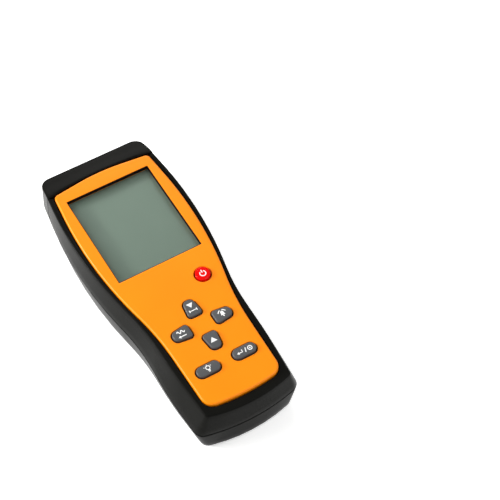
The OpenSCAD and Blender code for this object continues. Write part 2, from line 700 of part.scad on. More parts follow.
module bay_walls() {
    difference() {
        box(-bay_half - bay_wall, bay_half + bay_wall, -bay_low - bay_end_t, bay_end_t - bay_back,
            back_edge, bay_top + bay_wall);
        box(-bay_half, bay_half, -bay_low, -bay_back, -cut, bay_top);
    }
}
module socket_pad() {
    box(-pad_half, pad_half, seat_y - socket_pad_t, seat_y, socket_z - pad_rise, socket_z + pad_rise);
}
module back_case() {
    color(black) difference() {
        union() {
            difference() {
                case_outside();
                case_inside();
                front_space(0);
            }
            bay_walls();
            socket_pad();
            for (p = screw_places) post(p, column_r, back_edge, seam_z);
        }
        box(-bay_half, bay_half, -bay_low, -bay_back, -cut, bay_top);
        box(-cover_half - cover_gap, cover_half + cover_gap, -cover_foot - cover_gap, cover_gap - cover_head,
            -1, cover_sink + cover_t + cover_gap / 3);
        for (s = [-1, 1])
            box(s * tongue_x - tongue_w / 2 - cover_gap, s * tongue_x + tongue_w / 2 + cover_gap,
                -cover_foot - tongue_l - 2 * cover_gap, cut - cover_foot,
                cover_sink + cover_t - tongue_t - cover_gap, cover_sink + cover_t + tongue_l);
        box(-latch_w / 2 - cover_gap, latch_w / 2 + cover_gap, -bay_back - cut, cover_gap - cover_head, 0,
            cover_sink + cover_t + latch_h + cover_lap / 2);
        for (p = screw_places) {
            post(p, case_screw_r + screw_gap, -1, far);
            post(p, case_screw_head_r + screw_gap, -1, well_depth);
        }
        box(-pad_half, pad_half, seat_y, seat_y + far, socket_z - pad_rise, socket_z + pad_rise);
        for (s = [-1, 1]) translate([s * socket_x, seat_y + cut, socket_z])
            rotate([90, 0, 0]) cylinder(r = socket_barrel_r + socket_gap, h = socket_pad_t + 2 * cut);
        for (s = [-1, 1]) post([s * lead_x, lead_y], lead_r + cover_gap, cell_z, far);
    }
}

latch_y = -cover_head - cover_gap / 2;
module battery_cover() {
    color(black) difference() {
        union() {
            box(-cover_half, cover_half, -cover_foot, -cover_head, cover_sink, cover_sink + cover_t);
            for (s = [-1, 1])
                box(s * tongue_x - tongue_w / 2, s * tongue_x + tongue_w / 2, -cover_foot - tongue_l,
                    eps - cover_foot, cover_sink + cover_t - tongue_t, cover_sink + cover_t);
            box(-latch_w / 2, latch_w / 2, latch_y - latch_t, latch_y, cover_sink + cover_t - eps,
                cover_sink + cover_t + latch_h);
        }
        for (k = [2 : 6]) let (y = -cover_head - groove_pitch * k)
            box(-latch_w, latch_w, y - groove_w, y, 0, cover_sink + groove_depth);
    }
}

module display_lens() {
    color([0.8, 0.85, 0.85, 0.4]) centred(lens_w, lens_h, lens_z, lens_z + lens_t);
}
module display_glass() {
    color([0.49, 0.56, 0.5]) centred(lens_w, lens_h, glass_z, glass_z + glass_t);
}
module backlight() {
    color("white") centred(window_w + 2, lens_h - 4 * strip_w, board_z, glass_z);
}
module display_holder() {
    color(black) difference() {
        centred(2 * holder_half_w, 2 * holder_half_h, board_z, deck_z);
        centred(lens_w + 2 * display_gap, lens_h + 2 * display_gap, 0, far);
    }
}
module contact_strips() {
    color([0.8, 0.5, 0.55]) for (s = [-1, 1])
        translate([0, s * (lens_h / 2 - strip_w / 2 - display_gap), 0])
            centred(strip_l, strip_w, board_z, glass_z);
}

module main_board() {
    color([0.08, 0.35, 0.18]) difference() {
        translate([0, 0, board_low]) linear_extrude(board_t) polygon(both_sides_flat([
            [board_tail_half, -board_end_back], [board_tail_half, -board_tail_back],
            [board_neck_half, -board_tail_back], [board_neck_half, -board_neck_back],
            [board_half, -board_neck_back], [board_half, window_h / 2 + lens_lap],
            [board_half - board_corner, board_head]]));
        for (p = post_places) post(p, board_screw_r + screw_gap, 0, far);
    }
}
function both_sides_flat(right) =
    concat(right, [for (i = [len(right) - 1 : -1 : 0]) [-right[i].x, right[i].y]]);
module dome_mat() {
    mat_half = max([for (p = key_places) p.x]) + dome_r + mat_edge;
    head_edge = power_back - dome_r - mat_edge;
    foot_edge = long_back + dome_r + mat_edge;
    color([0.85, 0.85, 0.82]) {
        box(-mat_half, mat_half, -foot_edge, -head_edge, board_z, board_z + mat_t);
        for (p = key_places) translate([p.x, p.y, board_z + mat_t - eps])
            cylinder(r1 = dome_r, r2 = dome_top_r, h = dome_h + eps);
    }
}

// Pieces under the board
module chip(x, y, w, h, t) {
    box(x - w / 2, x + w / 2, y - h / 2, y + h / 2, board_low - t, board_low);
}
module processor_chip() {
    color([0.1, 0.1, 0.1]) chip(0, -processor_back, processor_w, processor_w, chip_t);
}
module pulser_chip() {
    color([0.1, 0.1, 0.1]) chip(0, pulser_up, pulser_w, pulser_l, chip_t);
}
module crystal() {
    color(metal) chip(beside_x, -processor_back, crystal_w, crystal_l, crystal_t);
}
module capacitors() {
    color([0.15, 0.15, 0.3]) for (s = [-1, 1])
        post([s * capacitor_x, capacitor_up], capacitor_r, board_low - capacitor_h, board_low);
}
module buzzer() {
    at = [-beside_x, -processor_back];
    color([0.1, 0.1, 0.1]) difference() {
        post(at, buzzer_r, board_low - buzzer_h, board_low);
        post(at, buzzer_hole_r, board_low - buzzer_h - cut, board_low - buzzer_h + cut);
    }
}

// Probe sockets, each turned so that its axis runs out of the head
module rod_y(side, r, from, to) {
    translate([side * socket_x, from, socket_z]) rotate([-90, 0, 0]) cylinder(r = r, h = to - from);
}
bore_end = nose_y - socket_bore_l;
barrel_end = seat_y - socket_barrel_l;
insulator_r = socket_bore_r - 0.3;
module socket(side) {
    color(metal) difference() {
        union() {
            rod_y(side, socket_flange_r, seat_y, seat_y + socket_flange_t);
            rod_y(side, socket_nose_r, seat_y + socket_flange_t - eps, nose_y);
            rod_y(side, socket_barrel_r, barrel_end, seat_y + eps);
        }
        rod_y(side, socket_bore_r, bore_end, nose_y + 1);
        rod_y(side, insulator_r, barrel_end - 1, bore_end + eps);
    }
}
module socket_nuts() {
    nut_y = seat_y - socket_pad_t - nut_t;
    color(metal) for (s = [-1, 1]) difference() {
        translate([s * socket_x, nut_y, socket_z]) rotate([-90, 0, 0])
            cylinder(r = nut_af / 2 / cos(30), h = nut_t, $fn = 6);
        rod_y(s, socket_barrel_r + socket_gap / 2, nut_y - 1, nut_y + nut_t + 1);
    }
}
module socket_insulators() {
    color("white") for (s = [-1, 1]) difference() {
        rod_y(s, insulator_r - socket_gap / 2, barrel_end, bore_end);
        rod_y(s, contact_r + socket_gap / 2, barrel_end - 1, bore_end + 1);
    }
}
module socket_contacts() {
    color([0.8, 0.65, 0.3]) for (s = [-1, 1]) rod_y(s, contact_r, barrel_end - contact_out, bore_end);
}

// A round lead swept along its route
module swept(route, r, sides = 8) {
    n = len(route);
    function way(i) = let (d = route[min(n - 1, i + 1)] - route[max(0, i - 1)]) d / norm(d);
    function across(i) = let (c = cross(way(i), [1, 0, 0.001])) c / norm(c);
    rings = [for (i = [0 : n - 1]) let (u = across(i), v = cross(way(i), u))
        [for (k = [0 : sides - 1]) route[i] + r * (u * cos(k * 360 / sides) + v * sin(k * 360 / sides))]];
    loft(rings);
}
function bend(a, b, c, steps = 6) = [for (k = [0 : steps]) let (t = k / steps)
    a * (1 - t) * (1 - t) + 2 * b * t * (1 - t) + c * t * t];
module socket_leads() {
    color([0.2, 0.2, 0.2]) for (s = [-1, 1]) {
        start = [s * socket_x, barrel_end - contact_out, socket_z];
        corner = start - [0, lead_run, 0];
        swept(concat(bend(start, corner, corner + [0, 0, (board_low - socket_z) / 2]),
            [corner + [0, 0, board_low - socket_z]]), lead_r);
    }
}

// Cells lie side by side and turn about from one to the next
module cell(k) {
    pole = k % 2 == 0 ? 1 : -1;
    middle = -(bay_back + bay_low) / 2;
    translate([cell_places[k], middle - pole * nub_l / 2, cell_z]) rotate([-90 * pole, 0, 0]) {
        translate([0, 0, -cell_l / 2]) cylinder(r = cell_r, h = cell_l);
        translate([0, 0, cell_l / 2 - eps]) cylinder(r = nub_r, h = nub_l + eps);
    }
}
module battery_cells() {
    color([0.2, 0.3, 0.45]) for (k = [0 : 3]) cell(k);
}
module battery_springs() {
    room = (bay_l - cell_l - nub_l) / 2 - plate_t - 2 * spring_wire_r - display_gap / 2;
    count = wire_steps * spring_turns;
    color(metal) for (k = [0 : 3]) {
        pole = k % 2 == 0 ? 1 : -1;
        wall_y = pole > 0 ? -bay_low + plate_t : -bay_back - plate_t;
        base_y = wall_y + pole * (spring_wire_r + display_gap / 4);
        translate([cell_places[k], base_y, cell_z]) rotate([-90 * pole, 0, 0])
            swept([for (i = [0 : count]) let (t = i / count, a = 360 * i / wire_steps,
                r = spring_base_r + (spring_tip_r - spring_base_r) * t)
                [r * cos(a), r * sin(a), room * t]], spring_wire_r);
    }
}
module battery_plates() {
    color(metal) for (k = [0 : 3], y = [-bay_back - plate_t, -bay_low])
        box(cell_places[k] - plate_half, cell_places[k] + plate_half, y, y + plate_t,
            cell_z - plate_half, cell_z + plate_half);
}
lead_x = post_neck_x - post_r - lead_r - screw_gap;
lead_y = bay_end_t / 2 - bay_back;
module battery_leads() {
    color([0.7, 0.1, 0.1]) for (s = [-1, 1])
        swept([for (z = [cell_z + lead_r, bay_top, board_low]) [s * lead_x, lead_y, z]], lead_r);
}

module case_screws() {
    color(metal) for (p = screw_places) difference() {
        union() {
            post(p, case_screw_head_r, well_depth - case_screw_head_h, well_depth);
            post(p, case_screw_r, well_depth - eps, well_depth + case_screw_l);
        }
        for (a = [0, 90]) translate([p.x, p.y, 0])
            rotate(a) centred(case_slot_l, case_slot_w, 0, well_depth - case_screw_head_h / 2);
    }
}
module board_screws() {
    color(metal) for (p = post_places) difference() {
        union() {
            post(p, board_screw_head_r, board_low - board_screw_head_h, board_low);
            post(p, board_screw_r, board_low - eps, board_low + board_screw_l);
        }
        for (a = [0, 90]) translate([p.x, p.y, 0])
            rotate(a) centred(board_slot_l, board_slot_w, 0, board_low - board_screw_head_h / 2);
    }
}

place() front_case();
place() front_panel();
place() back_case();
place() battery_cover();
place() display_lens();
place() display_glass();
place() backlight();
place() display_holder();
place() contact_strips();
place() main_board();
place() dome_mat();
place() key(0, [0.9, 0.12, 0.1]);  // key_power
place() key(1, grey);  // key_up
place() key(2, grey);  // key_down
place() key(3, grey);  // key_left
place() key(4, grey);  // key_right
place() key(5, grey);  // key_enter
place() key(6, grey);  // key_light
place() processor_chip();
place() pulser_chip();
place() crystal();
place() capacitors();
place() buzzer();
place() socket(-1);  // socket_left
place() socket(1);  // socket_right
place() socket_nuts();
place() socket_insulators();
place() socket_contacts();
place() socket_leads();
place() battery_cells();
place() battery_springs();
place() battery_plates();
place() battery_leads();
place() case_screws();
place() board_screws();
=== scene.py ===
# %% [markdown]
# A hand-held ultrasonic thickness gauge lies on its back on a pale table. The solids made for the
# factory are the frame: they give every size and every joint. Here each visible surface gets the
# rounds, prints and finishes that the eye expects. First the frame is loaded and its box is kept.

# %% Load the frame
import math
import bmesh
import bpy
from mathutils import Matrix, Vector


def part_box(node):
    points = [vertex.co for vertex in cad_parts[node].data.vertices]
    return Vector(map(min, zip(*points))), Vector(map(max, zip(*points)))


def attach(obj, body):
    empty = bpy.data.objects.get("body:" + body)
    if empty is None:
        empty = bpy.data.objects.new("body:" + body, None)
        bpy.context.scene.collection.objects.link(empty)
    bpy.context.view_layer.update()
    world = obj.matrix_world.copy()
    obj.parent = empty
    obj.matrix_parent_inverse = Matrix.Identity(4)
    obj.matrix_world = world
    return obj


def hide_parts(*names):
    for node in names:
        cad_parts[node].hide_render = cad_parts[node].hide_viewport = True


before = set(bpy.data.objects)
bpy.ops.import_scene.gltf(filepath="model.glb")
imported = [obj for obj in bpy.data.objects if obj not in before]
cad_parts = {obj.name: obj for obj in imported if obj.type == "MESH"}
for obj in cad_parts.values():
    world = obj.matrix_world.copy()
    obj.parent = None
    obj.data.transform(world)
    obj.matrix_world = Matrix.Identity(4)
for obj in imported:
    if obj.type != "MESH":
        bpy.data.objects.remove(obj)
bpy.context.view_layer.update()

mm = 0.001
lens_low, lens_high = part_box("display_lens")
window_y = (lens_low.y + lens_high.y) / 2 / mm
print("nodes:", len(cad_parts), "window middle at", round(window_y, 3), "mm")

# %% [markdown]
# The camera stands where the photograph was taken from: a long lens, high over the lower left of
# the gauge, rolled a little. Its place was fitted to the outlines of the window and the face.
# Distances are counted from the middle of the display window, on the orange face.

# %% Camera
camera_azimuth = math.radians(-32.69)
camera_elevation = math.radians(56.09)
camera_roll = math.radians(2.07)
camera_side, camera_rise, camera_far = -60.276, 14.068, 810.80
camera_focal_px = 1566.4
photo_px = 500
panel_z = 32.0

def camera_axes(azimuth, elevation, roll):
    back = Vector((math.sin(azimuth) * math.cos(elevation), -math.cos(azimuth) * math.cos(elevation),
                   math.sin(elevation)))
    right = Vector((math.cos(azimuth), math.sin(azimuth), 0))
    up = back.cross(right)
    level_right = right * math.cos(roll) + up * math.sin(roll)
    level_up = up * math.cos(roll) - right * math.sin(roll)
    return level_right, level_up, back

right, up, back = camera_axes(camera_azimuth, camera_elevation, camera_roll)
lens = bpy.data.cameras.new("camera")
lens.sensor_width = 36
lens.lens = lens.sensor_width * camera_focal_px / photo_px
camera = bpy.data.objects.new("camera", lens)
bpy.context.collection.objects.link(camera)
eye = (-camera_side * right - camera_rise * up + camera_far * back + Vector((0, window_y, panel_z))) * mm
turn = Matrix((right, up, back)).transposed().to_4x4()
camera.matrix_world = Matrix.Translation(eye) @ turn
bpy.context.scene.camera = camera
print("lens", round(lens.lens, 1), "mm, camera at", [round(v, 3) for v in eye])

# %% [markdown]
# The photograph has a white sweep and broad, soft light, a little stronger from the upper left, where
# it draws the long highlight on the edge of the orange face. A white world, brighter at the horizon,
# does the filling. Four area lamps do the modelling: two from the left, a fill from the right, and one
# from beyond the head that lifts the sloping head off the black. The paper glows a little, so that it
# stays white.

# %% Floor and light
def colour(code):
    parts = [int(code[i:i + 2], 16) / 255 for i in (1, 3, 5)]
    return [c / 12.92 if c <= 0.04045 else ((c + 0.055) / 1.055) ** 2.4 for c in parts] + [1.0]

def add(tree, kind, inputs=None, **settings):
    made = tree.nodes.new(kind)
    for name, value in settings.items():
        setattr(made, name, value)
    for socket, value in (inputs or {}).items():
        if isinstance(value, bpy.types.NodeSocket):
            tree.links.new(value, made.inputs[socket])
        else:
            made.inputs[socket].default_value = value
    return made

def new_material(name, **sockets):
    material = bpy.data.materials.new(name)
    material.use_nodes = True
    shader = material.node_tree.nodes["Principled BSDF"]
    for socket, value in sockets.items():
        shader.inputs[socket.replace("_", " ")].default_value = value
    return material, material.node_tree, shader

scene = bpy.context.scene
scene.view_settings.view_transform = "Standard"
world = bpy.data.worlds.new("white room")
world.use_nodes = True
sky = world.node_tree
way = add(sky, "ShaderNodeTexCoord").outputs["Generated"]
height = add(sky, "ShaderNodeSeparateXYZ", {"Vector": way}).outputs["Z"]
horizon_glow, zenith_glow = 0.95, 0.3
glow = add(sky, "ShaderNodeMapRange", {"Value": height, "From Min": 0.1, "From Max": 0.9,
                                       "To Min": horizon_glow, "To Max": zenith_glow})
sky.links.new(glow.outputs["Result"], sky.nodes["Background"].inputs["Strength"])
sky.nodes["Background"].inputs["Color"].default_value = (1, 1, 1, 1)
scene.world = world

def lamp(name, place, target, size, watts):
    data = bpy.data.lights.new(name, "AREA")
    data.shape = "SQUARE"
    data.size = size
    data.energy = watts
    made = bpy.data.objects.new(name, data)
    bpy.context.collection.objects.link(made)
    made.location = place
    made.rotation_euler = (Vector(target) - Vector(place)).to_track_quat("-Z", "Y").to_euler()
    return made

middle, head_end = (0, 0, 0), (0, 0.09, 0)
lamp("window lamp", (-0.75, 0.35, 0.8), middle, size=0.5, watts=5)
lamp("edge lamp", (-0.83, 0.5, 0.32), middle, size=0.15, watts=10)
lamp("fill lamp", (0.5, -0.3, 1.0), middle, size=0.6, watts=3)
lamp("head lamp", (0.33, 0.83, 0.64), head_end, size=0.4, watts=2.4)

floor_mesh = bpy.data.meshes.new("floor")
floor_half, floor_drop = 3.0, 0.2 * mm
floor_mesh.from_pydata([(-floor_half, -floor_half, 0), (floor_half, -floor_half, 0),
                        (floor_half, floor_half, 0), (-floor_half, floor_half, 0)], [], [(0, 1, 2, 3)])
floor = bpy.data.objects.new("floor", floor_mesh)
bpy.context.collection.objects.link(floor)
floor.location.z = -floor_drop
paper, tree, shader = new_material("matt paper", Base_Color=colour("#f8f8f7"), Roughness=0.9,
                                    Emission_Color=(1, 1, 1, 1), Emission_Strength=0.45)
floor.data.materials.append(paper)

# %% [markdown]
# Every outline on this gauge is a polygon with rounded corners: a few corners, each with its own
# radius. One function turns such a list into points, with as many steps as the eye needs. The same
# steps on two outlines give points that belong together, so a wall can be stretched between them.

# %% Rounded outlines
edge_fill = 0.96
on_axis = 0.01
tiny = 1e-9
merge_distance = 0.002 * mm
soft_below = math.radians(32)
arc_steps = 12
edge_marks = (0.25, 0.5, 0.75)

def heading(a, b):
    return math.atan2(b[1] - a[1], b[0] - a[0])

def turn_at(v, i):
    d = heading(v[i], v[(i + 1) % len(v)]) - heading(v[i - 1], v[i])
    return (d + math.pi) % (2 * math.pi) - math.pi

def want_at(v, i):
    return v[i][2] * math.tan(abs(turn_at(v, i)) / 2)

def arc_at(v, i, steps):
    before, p, after = v[i - 1], v[i], v[(i + 1) % len(v)]
    w = want_at(v, i)
    share = min(1, edge_fill * math.dist(before[:2], p[:2]) / (want_at(v, i - 1) + w + tiny),
                edge_fill * math.dist(p[:2], after[:2]) / (w + want_at(v, (i + 1) % len(v)) + tiny))
    a, t = heading(before, p), turn_at(v, i)
    r = p[2] * share * math.copysign(1, t)
    x, y = p[0] - w * share * math.cos(a), p[1] - w * share * math.sin(a)
    return [Vector((x + r * (math.sin(a + t * k / steps) - math.sin(a)),
                    y + r * (math.cos(a) - math.cos(a + t * k / steps)))) for k in range(steps + 1)]

def rounded(v, steps=arc_steps, fractions=None):
    arcs = [arc_at(v, i, steps) for i in range(len(v))]
    points = []
    for i, arc in enumerate(arcs):
        following = arcs[(i + 1) % len(v)][0]
        points += arc
        points += [arc[-1].lerp(following, f) for f in (fractions or {}).get(i, edge_marks)]
    return points

def both_sides(half):
    return half + [(-x, y, r) for x, y, r in half[::-1] if x > on_axis]

def smooth(mesh):
    work = bmesh.new()
    work.from_mesh(mesh)
    bmesh.ops.remove_doubles(work, verts=work.verts, dist=merge_distance)
    bmesh.ops.dissolve_degenerate(work, dist=merge_distance, edges=work.edges)
    bmesh.ops.recalc_face_normals(work, faces=work.faces)
    for face in work.faces:
        face.smooth = True
    for edge in work.edges:
        edge.smooth = len(edge.link_faces) == 2 and edge.calc_face_angle(0) < soft_below
    work.to_mesh(mesh)
    work.free()

def shell(name, points, faces, material, body, *nodes):
    mesh = bpy.data.meshes.new(name)
    mesh.from_pydata([Vector((p[0], p[1] + window_y, p[2])) * mm for p in points], [], faces)
    smooth(mesh)
    made = bpy.data.objects.new(name, mesh)
    bpy.context.collection.objects.link(made)
    made.data.materials.append(material)
    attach(made, body)
    if nodes:
        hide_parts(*nodes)
    return made

def loop_faces(count, n, closed_columns=True, closed_rings=False):
    rings = range(count if closed_rings else count - 1)
    columns = range(n if closed_columns else n - 1)
    faces = []
    for r in rings:
        low, high = r * n, (r + 1) % count * n
        faces += [(low + i, low + (i + 1) % n, high + (i + 1) % n, high + i) for i in columns]
    return faces

print("outline helpers ready")

# %% [markdown]
# The case is charcoal ABS from a spark-eroded mould: a satin skin with a very fine grain. The grain is
# far finer than a pixel here, so it is drawn at about half a millimetre to be seen at all. All the
# plastics share one recipe: a slow drift between two tints, and a grain that stirs gloss and relief.
# The back half keeps the sharp edges of its solid, so its skin also rounds the light at the edges.

# %% Plastics
gloss_swing = 0.06
relief_depth = 0.1 * mm

def two_tints(tree, value, low, dark, high, light):
    ramp = add(tree, "ShaderNodeValToRGB", {"Fac": value})
    for stop, place, code in zip(ramp.color_ramp.elements, (low, high), (dark, light)):
        stop.position, stop.color = place, colour(code)
    return ramp.outputs["Color"]

def moulded(name, light, dark, roughness, grain_mm, bump, drift_mm=25, edge_mm=0, **sockets):
    material, tree, shader = new_material(name, IOR=1.5, **sockets)
    where = add(tree, "ShaderNodeTexCoord").outputs["Object"]
    grain = add(tree, "ShaderNodeTexNoise", {"Vector": where, "Scale": 1 / (grain_mm * mm), "Detail": 3.0})
    drift = add(tree, "ShaderNodeTexNoise", {"Vector": where, "Scale": 1 / (drift_mm * mm), "Detail": 2.0})
    tint = two_tints(tree, drift.outputs["Fac"], 0.3, dark, 0.7, light)
    tree.links.new(tint, shader.inputs["Base Color"])
    rough = add(tree, "ShaderNodeMapRange", {"Value": grain.outputs["Fac"],
                                             "To Min": roughness - gloss_swing,
                                             "To Max": roughness + gloss_swing})
    tree.links.new(rough.outputs["Result"], shader.inputs["Roughness"])
    relief = add(tree, "ShaderNodeBump", {"Height": grain.outputs["Fac"], "Strength": bump,
                                          "Distance": relief_depth})
    tree.links.new(relief.outputs["Normal"], shader.inputs["Normal"])
    if edge_mm:
        soft_edge = add(tree, "ShaderNodeBevel", {"Radius": edge_mm * mm}, samples=8)
        tree.links.new(soft_edge.outputs["Normal"], relief.inputs["Normal"])
    return material

case_skin = dict(light="#161614", dark="#131311", roughness=0.24, grain_mm=0.5, bump=0.1,
                 Specular_IOR_Level=0.025)
charcoal = moulded("charcoal ABS, spark-eroded", **case_skin)
charcoal_back = moulded("charcoal ABS, soft edges", edge_mm=1.8, **case_skin)
orange = moulded("orange ABS, satin", "#fb8c06", "#f88804", 0.34, 0.4, 0.08, Specular_IOR_Level=0.2)
key_grey = moulded("grey silicone rubber", "#494a4c", "#464748", 0.5, 0.3, 0.15)
key_red = moulded("red acrylic, polished", "#e20a05", "#da0804", 0.14, 0.6, 0.02, Specular_IOR_Level=0.15)
white_ink = moulded("white pad-print ink", "#f4f4f2", "#ececea", 0.5, 0.2, 0.1)
print("plastics:", [m.name for m in bpy.data.materials])

# %% [markdown]
# The front half of the case is a frame round the orange face. Its side wall leans in from the parting
# line to a crease, then a flat land runs to the face. It is built from columns: one short profile of
# the wall at each point round the gauge, joined to the next. The parting line turns up near the head,
# where the wall's foot follows a quarter circle, and an arch closes the frame there.

# %% Front half
head_reach, head_half, head_corner_r = 51.5, 30.05, 10.0
foot_corner_back, foot_crown, foot_half = 117.1, 6.5, 29.0
foot_r, foot_corner_r = 108.0, 5.5
waists = ((30.7, -90.0, 200.0), (28.8, -59.0, 120.0), (38.4, -6.0, 230.0))
seam_z, seam_gap, seam_turn_r = 15.0, 0.3, 7.0
rim_z, foot_fall, foot_fall_run, head_fall = 30.8, 0.2, 14.0, 2.6
rim_lean = (5.1, 5.1, 2.8, 2.25, 0.45)
rim_foot_in, rim_head_in, rim_foot_r, rim_head_r = 0.75, 1.4, 2.5, 6.0
arch_reach, arch_r = 39.4, 158.0
groove_z, groove_w, lip_r, lip_share = 28.6, 0.6, 0.3, 0.35
crease_ease, crease_share, foot_ease, turned_in = 0.9, 0.4, 0.3, 1.6
arch_strip_z, arch_foot_z, arch_land, arch_steps, arch_lip = 29.4, 28.3, 0.12, 60, 0.2
wall_least = 0.9
no_lean = (0,) * 5
corner_count, head_corner, head_marks = 11, 5, 40
arch_side = arch_reach - arch_r + math.sqrt(arch_r ** 2 - head_half ** 2)
turn_y = arch_side - seam_turn_r

def case_corners(lean, foot_in, head_in, r_foot, r_head):
    return both_sides([(0, foot_in - foot_corner_back - foot_crown, foot_r),
                       (foot_half - lean[0], foot_in - foot_corner_back, r_foot)]
                      + [(x - l, y, r) for (x, y, r), l in zip(waists, lean[1:4])]
                      + [(head_half - lean[4], head_reach - head_in, r_head)])

def evenly(count):
    return [k / count for k in range(1, count)]

# Extra points on the wall's edges near the head, where the parting line turns up and meets the arch
def turn_fractions():
    corners = case_corners(no_lean, 0, 0, foot_corner_r, head_corner_r)
    plain = rounded(corners, arc_steps, {i: () for i in range(corner_count)})
    first = head_corner * (arc_steps + 1)
    low, high = plain[first - 1], plain[first]
    ys = [turn_y + seam_turn_r * math.sin(math.radians(a)) for a in range(10, 91, 4)]
    ys += [arch_side + beyond for beyond in (0.01, 1, 3)]
    up = [(y - low.y) / (high.y - low.y) for y in ys if low.y < y < high.y]
    return {head_corner - 1: up, head_corner: evenly(head_marks),
            head_corner + 1: [1 - f for f in up[::-1]]}

fractions = turn_fractions()
seam_plan = rounded(case_corners(no_lean, 0, 0, foot_corner_r, head_corner_r), arc_steps, fractions)
rim_corners = case_corners(rim_lean, rim_foot_in, rim_head_in, rim_foot_r, rim_head_r)
rim_plan = rounded(rim_corners, arc_steps, fractions)

# The orange face: half its corners from foot to head as x, y, radius, drawn in by an inset d
face_foot, face_foot_corner = (0, -115.3, 133.0), (21.3, -112.6, 7.6)
face_waist, face_wide = (22.2, -65.5, 153.0), (33.1, -14.2, 234.0)
face_head_corner, face_head = (28.0, 35.6, 2.6), (0, 38.9, 110.0)
least_foot_r, least_head_r = 1, 0.4

def panel_corners(d):
    (fx, fy, fr), (hx, hy, hr) = face_foot_corner, face_head_corner
    sides = [(x - d, y, r) for x, y, r in (face_waist, face_wide)]
    foot = [(0, d + face_foot[1], face_foot[2]), (fx - d, d + fy, max(least_foot_r, fr - d))]
    head = [(hx - d, hy - d, max(least_head_r, hr - d)), (0, face_head[1] - d, face_head[2])]
    return both_sides(foot + sides + head)

def face_plan(d, steps, marks):
    return rounded(panel_corners(d), steps, {i: evenly(marks) for i in range(corner_count)})

pocket_plan = face_plan(-groove_w, 24, 12)

def rim_height(y):
    t = min(1, max(0, (-y - (foot_corner_back + foot_crown - rim_foot_in - foot_fall_run)) / foot_fall_run))
    over = max(0, y - arch_reach) / (head_reach - rim_head_in - arch_reach)
    return rim_z - foot_fall * t * t * (3 - 2 * t) - head_fall * over

def seam_height(y):
    if y <= turn_y:
        return seam_z
    return seam_z + seam_turn_r - math.sqrt(max(0, seam_turn_r ** 2 - (y - turn_y) ** 2))

def arch_y(x):
    return arch_reach - arch_r + math.sqrt(arch_r ** 2 - x * x)

def curve(a, b, c, steps):
    return [a.lerp(b, k / steps).lerp(b.lerp(c, k / steps), k / steps) for k in range(steps + 1)]

def flat(p, z):
    return Vector((p[0], p[1], z))

def side(i, z):
    top = flat(rim_plan[i], rim_height(rim_plan[i].y))
    return flat(seam_plan[i], seam_z).lerp(top, (z - seam_z) / (top.z - seam_z))

def frame_column(foot, crease, lip):
    edge = min(pocket_plan, key=lambda q: (q - crease.xy).length)
    land = flat(edge, min(crease.z, rim_height(edge.y)))
    width = (land - crease).length
    ease = min(crease_ease, crease_share * width, crease_share * (crease - foot).length)
    wall, across = (crease - foot).normalized(), (land - crease).normalized()
    chip = min(lip_r, lip_share * width)
    points = [foot + lip] + curve(foot + lip.normalized() * foot_ease, foot, foot + wall * foot_ease, 3)
    points += [foot.lerp(crease, f) for f in edge_marks]
    points += curve(crease - wall * ease, crease, crease + across * ease, 5)
    points += curve(land - across * chip, land, land - Vector((0, 0, chip)), 3)
    return points + [flat(edge, groove_z)]

columns = []
wall_ids = [i for i in range(len(seam_plan)) if seam_plan[i].y <= arch_side]
first_head = next(i for i in range(len(seam_plan)) if seam_plan[i].y > arch_side)
ordered = [i for i in wall_ids if i > first_head] + [i for i in wall_ids if i < first_head]
for i in ordered:
    ahead, behind = seam_plan[(i + 1) % len(seam_plan)], seam_plan[i - 1]
    inward = Vector((behind.y - ahead.y, ahead.x - behind.x, 0)).normalized()
    low = min(seam_height(seam_plan[i].y) + seam_gap, rim_z - wall_least)
    rim = flat(rim_plan[i], rim_height(rim_plan[i].y))
    columns.append(frame_column(side(i, low), rim, inward * turned_in))
arch_half = rim_plan[ordered[-1]].x
for f in evenly(arch_steps):
    x = arch_half * (1 - 2 * f)
    near = min(pocket_plan, key=lambda q: abs(q.x - x) - q.y)
    y = max(arch_y(x) - seam_gap, near.y + arch_land)
    columns.append(frame_column(Vector((x, y, arch_foot_z)), Vector((x, y, arch_strip_z)),
                                Vector((0, -arch_lip, 0))))
n = len(columns[0])
front = shell("front_half", [p for c in columns for p in c], loop_faces(len(columns), n, True, True),
              charcoal, "body", "front_case")
print("front half:", len(columns), "columns of", n, "points")

# %% [markdown]
# The keys are three shapes: a round power key, four shields with their narrow ends outwards, and two
# long keys with round ends. The same outlines, a little larger, cut the openings in the orange face;
# a little smaller, they make the caps, so a dark gap shows round each key.

# %% Key outlines
key_low, key_edge, key_top, key_gap, cap_in = 27.0, 0.6, 32.97, 0.5, 0.2
power_r, power_steps = 4.2, 64
shield_half, shield_tip, shield_tip_r, shield_base, shield_base_r = 5.1, 2.9, 2.8, 4.3, 1.9
long_half, long_r = 6.6, 3.2

def circle(steps):
    turns = [2 * math.pi * k / steps for k in range(steps)]
    return [(math.cos(a), math.sin(a)) for a in turns]

def round_key(g):
    return [Vector(p) * (power_r + g) for p in circle(power_steps)]

def shield_key(g):
    return rounded(both_sides([(shield_tip + g, -shield_half - g, shield_tip_r + g),
                               (shield_base + g, shield_half + g, shield_base_r + g)]), arc_steps, {})

def box_plan(w, h, r, steps):
    return rounded([(w, -h, r), (w, h, r), (-w, h, r), (-w, -h, r)], steps, {})

def long_key(g):
    return box_plan(long_half + g, long_r + g, long_r + g, arc_steps)

keys = {"key_power": (round_key, 0, (15.1, -45.4)), "key_down": (shield_key, 180, (0, -60.3)),
        "key_up": (shield_key, 0, (0, -81.9)), "key_left": (shield_key, -90, (-11.7, -71.1)),
        "key_right": (shield_key, 90, (11.7, -71.1)), "key_enter": (long_key, 0, (10.2, -94.8)),
        "key_light": (long_key, 0, (-10.2, -94.8))}

def key_plan(name, g):
    plan, angle, place = keys[name]
    spin = Matrix.Rotation(math.radians(angle), 2)
    return [spin @ p + Vector(place) for p in plan(g)]

print("keys:", list(keys))

